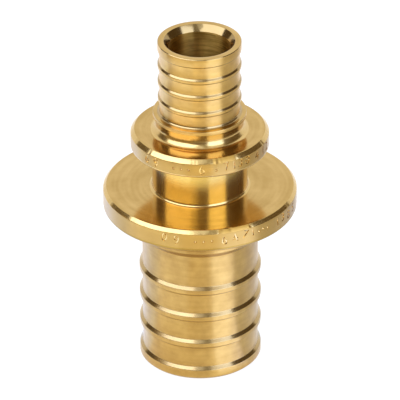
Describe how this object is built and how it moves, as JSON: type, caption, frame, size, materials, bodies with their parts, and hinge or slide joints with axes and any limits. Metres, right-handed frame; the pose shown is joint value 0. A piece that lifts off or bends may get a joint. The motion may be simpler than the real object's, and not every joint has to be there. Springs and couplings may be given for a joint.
{
  "type": "pex reducing coupling",
  "caption": "Turned brass reducing coupling for plastic pipe, with a large and a small ringed spigot, two flanges, a plain waist and a bore right through.",
  "frame": {"origin": "centre of the open end of the large spigot, which the coupling stands on", "axes": "+Z along the bore axis from the large spigot to the small one, +Y away from the viewer"},
  "size_m": [0.034, 0.034, 0.0622],
  "materials": {
    "brass": "turned, satin with fine rings from the tool"
  },
  "bodies": {
    "root": {"coupling_body": "brass"}
  },
  "joints": []
}
